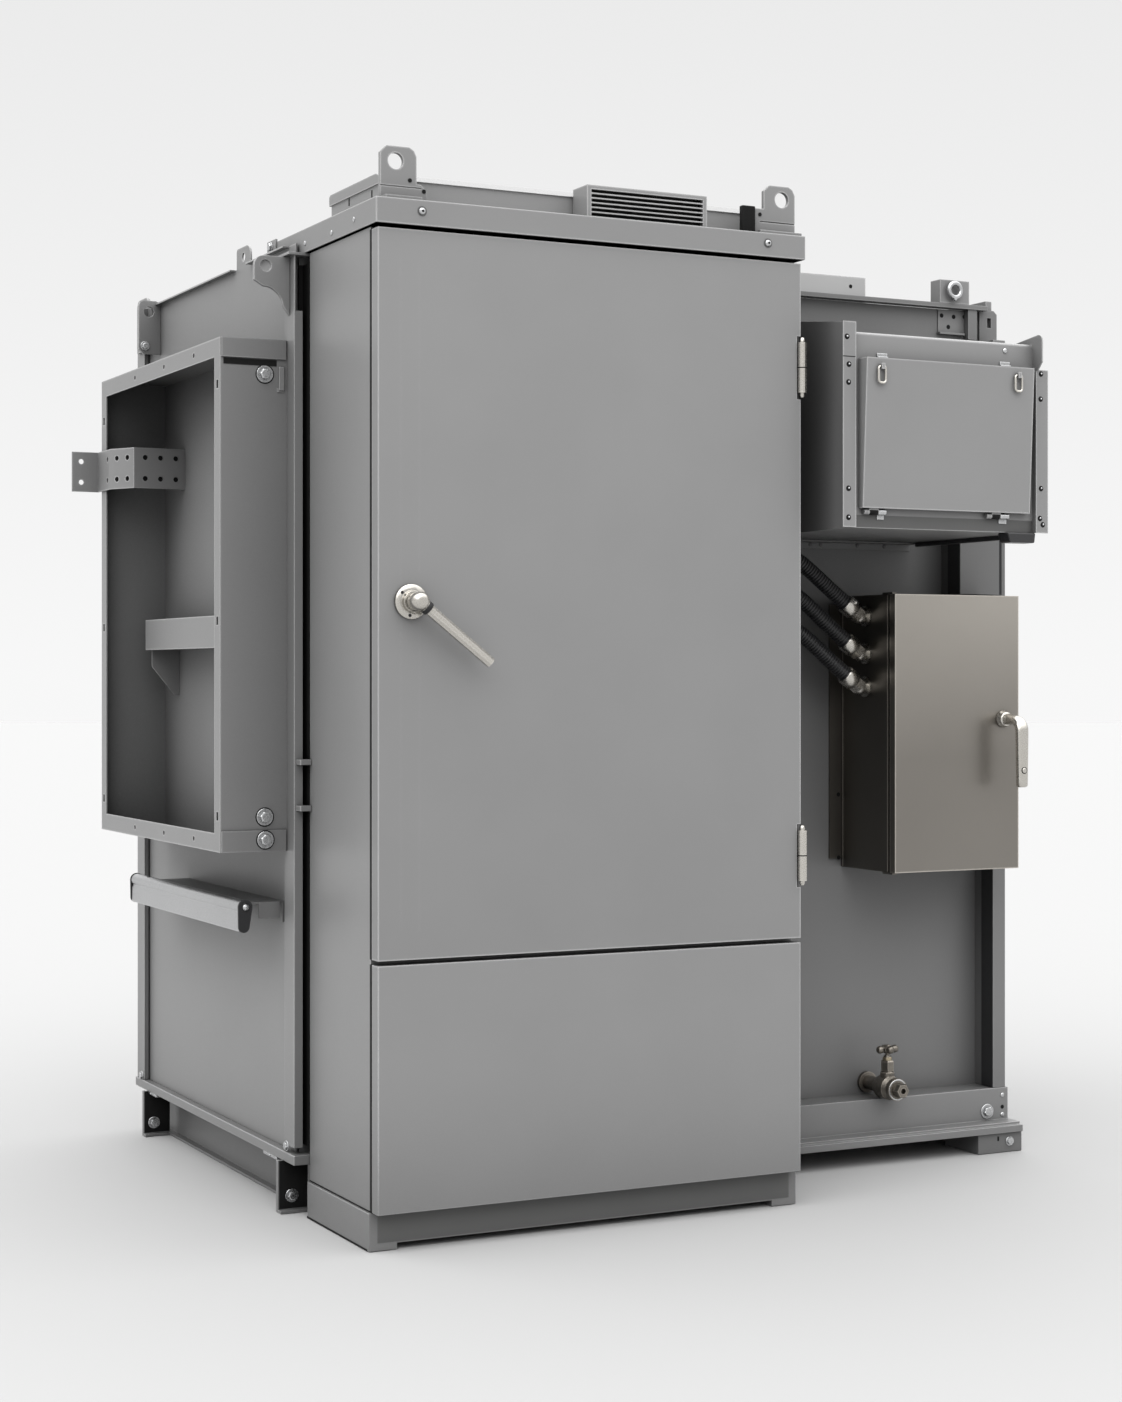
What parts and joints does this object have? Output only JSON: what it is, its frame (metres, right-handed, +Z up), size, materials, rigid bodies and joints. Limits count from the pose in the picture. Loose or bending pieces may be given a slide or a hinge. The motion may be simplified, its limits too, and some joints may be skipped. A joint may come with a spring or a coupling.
{
  "type": "outdoor power equipment housing with front cabinet",
  "caption": "Grey steel equipment housing on skids with a tall front cabinet, hinged doors, cable box, terminal box, ribbed conduits and a drain valve.",
  "frame": {"origin": "centre of the overall footprint on the floor", "axes": "+Z up, +X to the right along the cabinet's front, +Y to the back"},
  "size_m": [2.1052, 1.6622, 2.238],
  "materials": {
    "aluminium": "extruded, clear anodised",
    "bronze": "cast, dulled",
    "nickel": "satin nickel plating",
    "paint": "satin grey powder coat",
    "plastic": "moulded",
    "rubber": "matt black",
    "stainless": "brushed stainless sheet",
    "zinc": "zinc plated"
  },
  "bodies": {
    "housing": {"base_tray": "paint", "front_rail": "paint", "skid_left": "paint", "skid_right": "paint", "wall_left": "paint", "wall_right": "paint", "wall_rear": "paint", "wall_front": "paint", "roof": "paint", "post_front_left": "paint", "post_front_right": "paint", "lug_front_left": "paint", "lug_rear_left": "paint", "lug_rear_right": "paint", "eyebolt_block": "paint", "cable_box": "paint", "cable_bar": "paint", "cable_strap": "paint", "handle_bracket": "paint", "terminal_box": "paint", "bushing_panel": "plastic", "control_box": "stainless", "control_plate": "plastic", "gland_1": "nickel", "gland_2": "nickel", "gland_3": "nickel", "conduit_1": "rubber", "conduit_2": "rubber", "conduit_3": "rubber", "gland_plate": "nickel", "valve_body": "bronze", "cabinet_shell": "paint", "plinth": "paint", "lower_panel": "paint", "hood": "paint", "hood_roof": "paint", "vent_grille": "paint", "cabinet_lug_left": "paint", "cabinet_lug_right": "paint", "buffer_block": "rubber", "hinge_pin_upper": "nickel", "hinge_pin_lower": "nickel", "mounting_plate": "zinc", "main_switch": "plastic", "battery_bank": "plastic"},
    "cabinet_door": {"cabinet_door": "paint", "handle_rose": "nickel", "hinge_knuckle_upper": "nickel", "hinge_knuckle_lower": "nickel"},
    "lever": {"door_handle": "nickel", "latch_cam": "zinc"},
    "upper_rod": {"latch_rod_upper": "zinc"},
    "lower_rod": {"latch_rod_lower": "zinc"},
    "terminal_cover": {"terminal_cover": "paint"},
    "left_loop": {"latch_left": "nickel"},
    "right_loop": {"latch_right": "nickel"},
    "control_door": {"control_door": "stainless"},
    "control_handle": {"control_handle": "nickel"},
    "valve_handle": {"valve_handle": "bronze"},
    "drop_handle": {"drop_handle": "aluminium"}
  },
  "joints": [
    {"name": "door_hinge", "type": "hinge", "parent": "housing", "child": "cabinet_door", "pos_m": [0.19635, -0.7275, 1.3275], "axis": [0, 0, 1], "range_deg": [0, 100]},
    {"name": "lever_turn", "type": "hinge", "parent": "cabinet_door", "child": "lever", "pos_m": [-0.73265, -0.7245, 1.313], "axis": [0, -1, 0], "range_deg": [-53, 37]},
    {"name": "upper_rod_slide", "type": "slide", "parent": "cabinet_door", "child": "upper_rod", "axis": [0, 0, 1], "range_m": [-0.014, 0.02]},
    {"name": "lower_rod_slide", "type": "slide", "parent": "cabinet_door", "child": "lower_rod", "axis": [0, 0, 1], "range_m": [-0.02, 0.014]},
    {"name": "cover_hinge", "type": "hinge", "parent": "housing", "child": "terminal_cover", "pos_m": [0.52835, -0.7955, 1.522], "axis": [1, 0, 0], "range_deg": [0, 100]},
    {"name": "left_loop_swing", "type": "hinge", "parent": "terminal_cover", "child": "left_loop", "pos_m": [0.33935, -0.82621, 1.838], "axis": [-1, 0, 0], "range_deg": [0, 100]},
    {"name": "right_loop_swing", "type": "hinge", "parent": "terminal_cover", "child": "right_loop", "pos_m": [0.70635, -0.82621, 1.838], "axis": [-1, 0, 0], "range_deg": [0, 100]},
    {"name": "control_door_hinge", "type": "hinge", "parent": "housing", "child": "control_door", "pos_m": [0.58035, -0.5135, 1.0285], "axis": [0, 0, -1], "range_deg": [0, 110]},
    {"name": "control_handle_turn", "type": "hinge", "parent": "control_door", "child": "control_handle", "pos_m": [0.88435, -0.5305, 1.06], "axis": [0, 1, 0], "range_deg": [0, 90]},
    {"name": "valve_turn", "type": "hinge", "parent": "housing", "child": "valve_handle", "pos_m": [0.64885, -0.3905, 0.276], "axis": [0, 0, 1], "range_deg": [0, 720]},
    {"name": "drop_handle_swing", "type": "hinge", "parent": "housing", "child": "drop_handle", "pos_m": [-0.92265, 0.134, 0.665], "axis": [0, 1, 0], "range_deg": [0, 90]}
  ],
  "couplings": [
    {"joint": "upper_rod_slide", "follows": "lever_turn", "m_per_rad": -0.0216},
    {"joint": "lower_rod_slide", "follows": "lever_turn", "m_per_rad": 0.0216}
  ]
}
